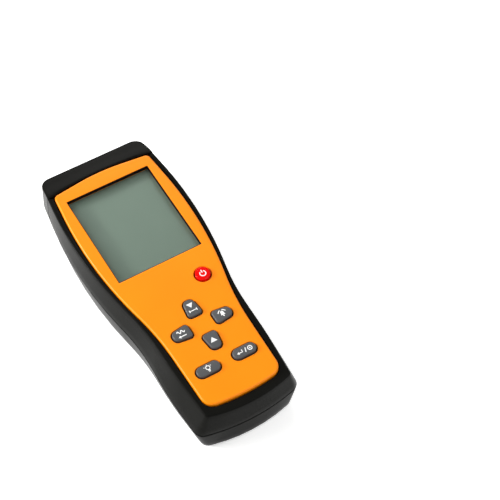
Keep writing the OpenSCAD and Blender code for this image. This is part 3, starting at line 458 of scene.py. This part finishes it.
# %% [markdown]
# The orange face is a plate with a soft outer edge, a sharp-cornered window and the key openings. Its
# walls are rings; the flat top is filled between the outer ring and the rings of the openings.

# %% Orange face
panel_low, panel_edge_r, panel_flat = 29.05, 1.0, 0.4
window_w, window_h, window_r, bezel_w = 47.5, 57.5, 0.3, 0.25
quarter = [math.radians(a) for a in range(0, 91, 15)]
# Rings of an opening: how far out, and how high
opening_rings = ((0, panel_low), (0, panel_z - 0.2), (0.06, panel_z - 0.06), (0.2, panel_z), (0.5, panel_z))

def window_plan(g):
    return box_plan(window_w / 2 + g, window_h / 2 + g, window_r, 3)

def filled_plate(outer_rings, hole_rings):
    points, faces, borders = [], [], []
    for rings in [outer_rings] + hole_rings:
        start, n = len(points), len(rings[0])
        points += [p for ring in rings for p in ring]
        faces += [tuple(start + i for i in face) for face in loop_faces(len(rings), n)]
        for end in (0, len(rings) - 1):
            borders.append((end == 0, [start + end * n + i for i in range(n)]))
    work = bmesh.new()
    verts = [work.verts.new(p) for p in points]
    for face in faces:
        work.faces.new([verts[i] for i in face])
    for bottom in (True, False):
        edges = []
        for is_low, ids in borders:
            if is_low == bottom:
                edges += [work.edges.get((verts[a], verts[b])) for a, b in zip(ids, ids[1:] + ids[:1])]
        bmesh.ops.triangle_fill(work, use_beauty=True, edges=edges)
    work.verts.index_update()
    result = [tuple(v.co) for v in work.verts], [tuple(v.index for v in f.verts) for f in work.faces]
    work.free()
    return result

def face_ring(d, z):
    return [flat(p, z) for p in face_plan(d, 16, 6)]

outer = [face_ring(0, panel_low)]
for a in quarter:
    outer.append(face_ring(panel_edge_r * (1 - math.cos(a)), panel_z - panel_edge_r * (1 - math.sin(a))))
outer.append(face_ring(panel_edge_r + panel_flat, panel_z))
openings = [lambda g: window_plan(bezel_w + g)] + [lambda g, k=k: key_plan(k, key_gap + g) for k in keys]
holes = [[[flat(p, z) for p in plan(out)] for out, z in opening_rings] for plan in openings]
points, faces = filled_plate(outer, holes)
face_plate = shell("orange_face", points, faces, orange, "body", "front_panel")
print("orange face:", len(points), "points,", len(holes), "openings")

# %% [markdown]
# Each key is a low cap with a rounded shoulder. The rings step in round a quarter circle.

# %% Key caps
for name in keys:
    rings = [[flat(p, key_low) for p in key_plan(name, -cap_in)]]
    for a in quarter:
        inset, drop = key_edge * (1 - math.cos(a)), key_edge * (1 - math.sin(a))
        rings.append([flat(p, key_top - drop) for p in key_plan(name, -cap_in - inset)])
    n = len(rings[0])
    faces = loop_faces(len(rings), n) + [tuple(range(n))[::-1]]
    faces.append(tuple((len(rings) - 1) * n + i for i in range(n)))
    finish, slot = (key_red, "power_key") if name == "key_power" else (key_grey, "key_rubber")
    cap = shell(name + "_cap", [p for r in rings for p in r], faces, finish, name, name)
print("caps:", len(keys))

# %% [markdown]
# The window is lined by a thin black bezel that stands just below the orange edge and reaches down to
# the clear lens. Seen from a low side, its inner wall is the dark line along the top and the right.

# %% Window bezel
lens_top = lens_high.z / mm
bezel_out, bezel_low, bezel_high = bezel_w - 0.03, lens_top + 0.02, panel_z - 0.12
bezel_profile = ((bezel_out, bezel_low), (bezel_out, bezel_high), (0, bezel_high), (0, bezel_low))
bezel_rings = [[flat(p, z) for p in window_plan(g)] for g, z in bezel_profile]
n = len(bezel_rings[0])
bezel = shell("window_bezel", [p for r in bezel_rings for p in r],
              loop_faces(len(bezel_rings), n, True, True), charcoal, "body")
print("bezel depth", round(panel_z - lens_top, 2), "mm")

# %% [markdown]
# The white signs on the keys are pad-printed: a film of ink a few hundredths of a millimetre thick. Each
# sign is drawn with a few pen strokes and filled shapes round the middle of its key. Signs, not words,
# say what the keys do: arrows, a bell, a lamp, a wave.

# %% Signs on the keys
ink_low, ink_high = key_top - 0.02, key_top + 0.03
thin_pen, fine_pen, plain_pen, bold_pen = 0.35, 0.45, 0.5, 0.55

def pen(path, width=plain_pen):
    path = [Vector(p) for p in path]
    left_edge, right_edge = [], []
    for behind, p, ahead in zip(path[:1] + path, path, path[1:] + path[-1:]):
        way = (ahead - behind).normalized()
        out = Vector((-way.y, way.x)) * width / 2
        left_edge.append(p + out)
        right_edge.append(p - out)
    return [right_edge + left_edge[::-1]]

def arc(x, y, r, start, end, steps=20):
    turns = [math.radians(start + (end - start) * k / steps) for k in range(steps + 1)]
    return [(x + r * math.cos(a), y + r * math.sin(a)) for a in turns]

def disc(x, y, r):
    return arc(x, y, r, 0, 345, 23)

def hoop(x, y, r):
    return pen(arc(x, y, r, 0, 359, 40), fine_pen)

wave_l, wave_y, wave_h, wave_steps = 4.2, 1.1, 0.75, 28
wave = [(wave_l * (k / wave_steps - 0.5), wave_y + wave_h * math.sin(4 * math.pi * k / wave_steps))
        for k in range(wave_steps + 1)]
bell_half = [(1.3, -0.8), (0.9, -0.2), (0.85, 0.9), (0.55, 1.45), (0, 1.65)]
bell = [(-1.3, -0.8)] + bell_half + [(-x, y) for x, y in bell_half[3:0:-1]]
signs = {
    "key_power": pen(arc(0, -0.1, 1.55, 125, 415), bold_pen) + pen([(0, 0.35), (0, 2.1)], bold_pen),
    "key_down": [[(-1.75, 2.6), (0, -0.1), (1.75, 2.6)]] + pen([(-1.77, -1.9), (1.77, -1.9)], fine_pen)
                + pen([(-2.0, -2.6), (-2.0, -1.2)], fine_pen) + pen([(2.0, -2.6), (2.0, -1.2)], fine_pen),
    "key_up": [[(-1.8, -1.1), (1.8, -1.1), (0, 1.7)]],
    "key_left": pen(wave) + pen([(-1.2, -1.5), (2.0, -1.5)])
                + [[(-2.5, -1.5), (-1.2, -2.4), (-1.2, -0.6)]],
    "key_right": [bell, disc(0, -1.35, 0.4)] + pen(arc(0, 0, 2.2, 20, 75)) + pen(arc(0, 0, 2.2, 105, 160)),
    "key_enter": pen([(-1.2, 1.1), (-1.2, -0.3), (-3.1, -0.3)])
                 + [[(-4.3, -0.3), (-3.1, -1.1), (-3.1, 0.5)]]
                 + pen([(0.2, -1.2), (1.0, 1.2)]) + hoop(3.1, 0, 1.1) + [disc(3.1, 0, 0.4)],
    "key_light": hoop(0, 0.55, 1.05) + pen([(-0.6, -0.95), (0.6, -0.95)])
                 + pen([(-0.45, -1.6), (0.45, -1.6)], fine_pen) + pen([(-2.0, 1.4), (-1.5, 1.1)], thin_pen)
                 + pen([(1.5, 1.1), (2.0, 1.4)], thin_pen) + pen([(0, 1.9), (0, 2.4)], thin_pen),
}
for name, shapes in signs.items():
    points, faces = [], []
    place = Vector(keys[name][2])
    for shape in shapes:
        start, n = len(points), len(shape)
        points += [flat(Vector(p) + place, z) for z in (ink_low, ink_high) for p in shape]
        faces += [tuple(start + i for i in face) for face in loop_faces(2, n)]
        faces += [tuple(start + n + i for i in range(n)), tuple(start + i for i in range(n))[::-1]]
    sign = shell(name + "_sign", points, faces, white_ink, name)
print("signs:", len(signs))

# %% [markdown]
# The other materials. Plated metal is bright with a fine grain, rubber and resin are dull, and the
# display is a grey-green sheet behind a clear lens. Most of these sit inside, and a few of them show
# when the battery cover is open.

# %% More materials
steel = moulded("zinc-plated steel", "#c9cacc", "#b4b5b8", 0.3, 0.25, 0.1, 6, Metallic=1.0)
spring_steel = moulded("drawn spring steel", "#b9babd", "#a3a4a8", 0.25, 0.15, 0.1, 4, Metallic=1.0)
nickel = moulded("nickel-plated brass, turned", "#d2cfc8", "#c2bfb8", 0.22, 0.2, 0.08, 5, Metallic=1.0)
gold = moulded("gold-plated brass", "#d9b25c", "#cda44e", 0.25, 0.2, 0.05, 4, Metallic=1.0)
aluminium = moulded("aluminium can, sleeved", "#6f7480", "#62666f", 0.4, 0.3, 0.1, 6, Metallic=0.6)
jacket = moulded("printed film over a cell", "#33475f", "#2b3d54", 0.3, 0.6, 0.05, 12, Coat_Weight=0.3)
fluoroplastic = moulded("white PTFE", "#eeeeea", "#e4e4df", 0.5, 0.3, 0.1, 5)
black_abs = moulded("black ABS, textured", "#1a1a1a", "#151515", 0.5, 0.4, 0.2)
diffuser = moulded("opal acrylic", "#f1f2ee", "#e8e9e4", 0.35, 0.5, 0.05)
solder_mask = moulded("green solder mask on glass-fibre board", "#17693a", "#115a30", 0.35, 0.6, 0.1, 3)
silicone = moulded("milky silicone rubber", "#dcdcd4", "#d0d0c7", 0.6, 0.4, 0.1)
epoxy = moulded("black moulding epoxy", "#202123", "#1a1b1c", 0.55, 0.25, 0.2, 5)
sleeve = moulded("soft PVC sleeve", "#2a2a2c", "#232325", 0.45, 0.3, 0.1, 5)
liquid_crystal = moulded("liquid crystal cell with rear polariser", "#809585", "#7c9081", 0.35, 0.3, 0.01,
                         45)
smudge_size = 9 * mm
clear, tree, shader = new_material("clear acrylic lens", Base_Color=colour("#3c4440"), IOR=1.49, Alpha=0.12)
smudge = add(tree, "ShaderNodeTexNoise", {"Vector": add(tree, "ShaderNodeTexCoord").outputs["Object"],
                                          "Scale": 1 / smudge_size, "Detail": 3.0})
haze = add(tree, "ShaderNodeMapRange", {"Value": smudge.outputs["Fac"], "To Min": 0.03, "To Max": 0.1})
tree.links.new(haze.outputs["Result"], shader.inputs["Roughness"])

# Layers of conductive and plain rubber, here 0.5 mm each; the real ones are too fine to show. The bands
# repeat at 0.314 divided by their scale.
layer_pair, wave_repeat = 1.0 * mm, 0.314
zebra, tree, shader = new_material("layered contact rubber", Roughness=0.6)
bands = add(tree, "ShaderNodeTexWave", {"Vector": add(tree, "ShaderNodeTexCoord").outputs["Object"],
                                        "Scale": wave_repeat / layer_pair},
            wave_type="BANDS", bands_direction="X")
layers = two_tints(tree, bands.outputs["Fac"], 0.45, "#1e1c1d", 0.55, "#cf8f98")
tree.links.new(layers, shader.inputs["Base Color"])
print("materials:", len(bpy.data.materials))

# %% [markdown]
# Screws and cells are turned shapes that repeat. A template is turned once from its profile, and a small
# tree of geometry nodes sets copies of it on points. Each point carries a turn, because the cells lie
# head to tail. The copies are made real and become one plain mesh.

# %% Copies on points
def new_tree(title, inputs):
    tree = bpy.data.node_groups.new(title, "GeometryNodeTree")
    tree.interface.new_socket("Geometry", in_out="INPUT", socket_type="NodeSocketGeometry")
    for name, kind in inputs.items():
        tree.interface.new_socket(name, in_out="INPUT", socket_type="NodeSocket" + kind)
    tree.interface.new_socket("Geometry", in_out="OUTPUT", socket_type="NodeSocketGeometry")
    return tree, add(tree, "NodeGroupInput").outputs

def end_tree(tree, given, template):
    facing = add(tree, "GeometryNodeInputNamedAttribute", {"Name": "facing"}, data_type="FLOAT_VECTOR")
    copies = add(tree, "GeometryNodeInstanceOnPoints", {"Points": given["Geometry"], "Instance": template,
                                                        "Rotation": facing.outputs["Attribute"]})
    real = add(tree, "GeometryNodeRealizeInstances", {"Geometry": copies.outputs["Instances"]})
    done = add(tree, "GeometryNodeSetMaterial", {"Geometry": real.outputs["Geometry"],
                                                 "Material": given["Material"]})
    add(tree, "NodeGroupOutput", {"Geometry": done.outputs["Geometry"]})

def grow(name, places, turns, tree, values, slot, *nodes):
    seeds = bpy.data.meshes.new(name + "_places")
    seeds.from_pydata([Vector((x, y + window_y, z)) * mm for x, y, z in places], [], [])
    facing = seeds.attributes.new("facing", "FLOAT_VECTOR", "POINT")
    for item, turn in zip(facing.data, turns):
        item.vector = (turn, 0, 0)
    made = bpy.data.objects.new(name, seeds)
    bpy.context.collection.objects.link(made)
    modifier = made.modifiers.new(name, "NODES")
    modifier.node_group = tree
    for socket in tree.interface.items_tree:
        if socket.in_out == "INPUT" and socket.name in values:
            modifier[socket.identifier] = values[socket.name]
    bpy.context.view_layer.update()
    grown = bpy.data.meshes.new_from_object(made.evaluated_get(bpy.context.evaluated_depsgraph_get()))
    made.modifiers.remove(modifier)
    made.data = grown
    smooth(grown)
    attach(made, "body")
    if nodes:
        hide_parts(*nodes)
    print(name + ":", len(places), "copies,", len(grown.polygons), "faces")

def turned(name, profile, steps):
    points = [Vector((r * c, r * s, z)) * mm for r, z in profile for c, s in circle(steps)]
    faces = loop_faces(len(profile), steps) + [tuple(range(steps))[::-1]]
    faces.append(tuple((len(profile) - 1) * steps + k for k in range(steps)))
    mesh = bpy.data.meshes.new(name)
    mesh.from_pydata(points, [], faces)
    made = bpy.data.objects.new(name, mesh)
    bpy.context.collection.objects.link(made)
    return made

copies_tree, given = new_tree("copies of a template", {"Template": "Object", "Material": "Material"})
end_tree(copies_tree, given, add(copies_tree, "GeometryNodeObjectInfo", {"Object": given["Template"]})
         .outputs["Geometry"])
print("tree:", copies_tree.name, "with", len(copies_tree.nodes), "nodes")

# %% [markdown]
# A case screw has a pan head with a cross recess and a shank with a coarse thread for plastic. The thread
# is drawn as a row of ridges, and the cross is cut by two bars.

# %% Screws
screw_steps = 24

def cross_bar(length, width, depth, z):
    bar = bpy.data.meshes.new("bar")
    work = bmesh.new()
    for w, h in ((length, width), (width, length)):
        box = bmesh.ops.create_cube(work, size=1)["verts"]
        bmesh.ops.scale(work, vec=Vector((w, h, 2 * depth)) * mm, verts=box)
        bmesh.ops.translate(work, vec=Vector((0, 0, z)) * mm, verts=box)
    work.to_mesh(bar)
    work.free()
    made = bpy.data.objects.new("bar", bar)
    bpy.context.collection.objects.link(made)
    return made

def screw_template(head_r, head_h, shank_r, length, pitch, slot_l, slot_w):
    root_r, tip_r, tip_l = 0.82 * shank_r, 0.35 * shank_r, 0.8
    thread_start, thread_short = 0.6, 1.5
    profile = [(0.55 * head_r, -head_h), (0.85 * head_r, -0.93 * head_h), (head_r, -0.7 * head_h),
               (head_r, 0), (shank_r, 0)]
    for k in range(int((length - thread_short) / pitch)):
        z = thread_start + k * pitch
        profile += [(root_r, z), (shank_r, z + 0.4 * pitch), (shank_r, z + 0.55 * pitch)]
    profile += [(root_r, length - tip_l), (tip_r, length)]
    made = turned("screw", profile, screw_steps)
    bars = cross_bar(slot_l, slot_w, head_h / 2, -head_h)
    cut = made.modifiers.new("cross", "BOOLEAN")
    cut.object, cut.operation, cut.use_self = bars, "DIFFERENCE", True
    bpy.context.view_layer.update()
    made.data = bpy.data.meshes.new_from_object(made.evaluated_get(bpy.context.evaluated_depsgraph_get()))
    made.modifiers.clear()
    bpy.data.objects.remove(bars)
    return made

screw_seat_z = 8.0
case_screw_places = [(x, y, screw_seat_z) for x, y in ((-22.5, -36.6), (22.5, -36.6),
                                                       (-16.6, -106.4), (16.6, -106.4))]
template = screw_template(head_r=2.3, head_h=1.8, shank_r=1.25, length=17.0, pitch=0.95,
                          slot_l=2.6, slot_w=0.6)
grow("case_screw_set", case_screw_places, [0] * 4, copies_tree, {"Template": template, "Material": steel},
     "steel", "case_screws")
bpy.data.objects.remove(template)

# %% [markdown]
# The four cells lie head to tail. Each has a film jacket with soft shoulders, a flat steel foot and a
# raised steel cap.

# %% Cells
cell_z, bay_mid, cell_pitch, cell_shift, cell_steps = 8.0, -69.4, 10.65, 0.4, 48
cell_poles = (1, -1, 1, -1)
cell_places = [((k - 1.5) * cell_pitch, bay_mid - cell_shift * pole, cell_z)
               for k, pole in enumerate(cell_poles)]
cell_turns = [-math.pi / 2 * pole for pole in cell_poles]
jacket_profile = [(4.5, -21.7), (5.0, -21.7), (5.19, -21.6), (5.25, -21.3), (5.25, -10), (5.25, 10),
                  (5.25, 20.9), (5.19, 21.2), (5.0, 21.35), (4.5, 21.35)]
end_profile = [(2.0, -21.75), (4.4, -21.72), (4.55, -21.5), (4.55, 21.2), (4.4, 21.42), (2.15, 21.5),
               (1.9, 21.65), (1.9, 22.4), (1.75, 22.55)]
cell_pieces = (("cell_jackets", jacket_profile, jacket, "cell_jacket", ("battery_cells",)),
               ("cell_ends", end_profile, steel, "steel", ()))
for name, profile, finish, slot, nodes in cell_pieces:
    template = turned(name + "_template", profile, cell_steps)
    grow(name, cell_places, cell_turns, copies_tree, {"Template": template, "Material": finish},
         slot, *nodes)
    bpy.data.objects.remove(template)

# %% [markdown]
# The springs follow a rule of their own: a wire wound on a cone. Their tree draws the spiral, gives it
# the wire's thickness and sets a copy on each contact plate.

# %% Springs
spring_inputs = {name: "Float" for name in ("Wire radius", "Base radius", "Tip radius", "Height", "Turns")}
spring_tree, given = new_tree("conical springs", {**spring_inputs, "Material": "Material"})
spiral = add(spring_tree, "GeometryNodeCurveSpiral", {"Resolution": 28, "Rotations": given["Turns"],
                                                      "Start Radius": given["Base radius"],
                                                      "End Radius": given["Tip radius"],
                                                      "Height": given["Height"]})
wire = add(spring_tree, "GeometryNodeCurvePrimitiveCircle", {"Resolution": 10,
                                                             "Radius": given["Wire radius"]})
coil = add(spring_tree, "GeometryNodeCurveToMesh", {"Curve": spiral.outputs["Curve"], "Fill Caps": True,
                                                    "Profile Curve": wire.outputs["Curve"]})
end_tree(spring_tree, given, coil.outputs["Mesh"])
spring_y = {1: -94.05, -1: -44.75}
spring_places = [(x, spring_y[pole], z) for (x, y, z), pole in zip(cell_places, cell_poles)]
spring_sizes = {"Wire radius": 0.3 * mm, "Base radius": 3.6 * mm, "Tip radius": 1.8 * mm,
                "Height": 2.15 * mm, "Turns": 3.0, "Material": spring_steel}
grow("contact_spring_set", spring_places, cell_turns, spring_tree, spring_sizes, "steel", "battery_springs")

# %% [markdown]
# The solids that stay as they are get their finish and smooth shading: a tree of geometry nodes merges
# their loose triangles and keeps only the real edges sharp. The two that are charcoal also get a small
# broken edge that catches the light.

# %% Finishes for the solids
broken_edge_w, broken_edge_steps = 0.5 * mm, 3
broken_above, sharp_above = math.radians(40), math.radians(34)

smooth_tree, given = new_tree("smooth by angle", {"Angle": "Float"})
merged = add(smooth_tree, "GeometryNodeMergeByDistance", {"Geometry": given["Geometry"],
                                                          "Distance": merge_distance})
angle = add(smooth_tree, "GeometryNodeInputMeshEdgeAngle")
soft = add(smooth_tree, "FunctionNodeCompare", {0: angle.outputs["Unsigned Angle"], 1: given["Angle"]},
           operation="LESS_THAN")
faces_soft = add(smooth_tree, "GeometryNodeSetShadeSmooth", {"Geometry": merged.outputs["Geometry"],
                                                             "Shade Smooth": True}, domain="FACE")
edges_soft = add(smooth_tree, "GeometryNodeSetShadeSmooth", {"Geometry": faces_soft.outputs["Geometry"],
                                                             "Shade Smooth": soft.outputs["Result"]},
                 domain="EDGE")
add(smooth_tree, "NodeGroupOutput", {"Geometry": edges_soft.outputs["Geometry"]})
angle_socket = next(s.identifier for s in smooth_tree.interface.items_tree if s.name == "Angle")

finishes = {"back_case": charcoal_back, "battery_cover": charcoal, "display_lens": clear,
            "display_glass": liquid_crystal, "backlight": diffuser, "display_holder": black_abs,
            "contact_strips": zebra, "main_board": solder_mask, "dome_mat": silicone,
            "processor_chip": epoxy, "pulser_chip": epoxy, "crystal": steel, "capacitors": aluminium,
            "buzzer": black_abs, "socket_left": nickel, "socket_right": nickel, "socket_nuts": steel,
            "socket_insulators": fluoroplastic, "socket_contacts": gold, "socket_leads": sleeve,
            "battery_plates": steel, "battery_leads": sleeve, "board_screws": steel}
for name, finish in finishes.items():
    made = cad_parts[name]
    if finish in (charcoal, charcoal_back):
        weld = made.modifiers.new("joined triangles", "WELD")
        weld.merge_threshold = merge_distance
        broken = made.modifiers.new("broken edges", "BEVEL")
        broken.width = broken_edge_w
        broken.segments = broken_edge_steps
        broken.limit_method = "ANGLE"
        broken.angle_limit = broken_above
    modifier = made.modifiers.new("smooth by angle", "NODES")
    modifier.node_group = smooth_tree
    modifier[angle_socket] = sharp_above
    made.data.materials.clear()
    made.data.materials.append(finish)
print("finished solids:", len(finishes))
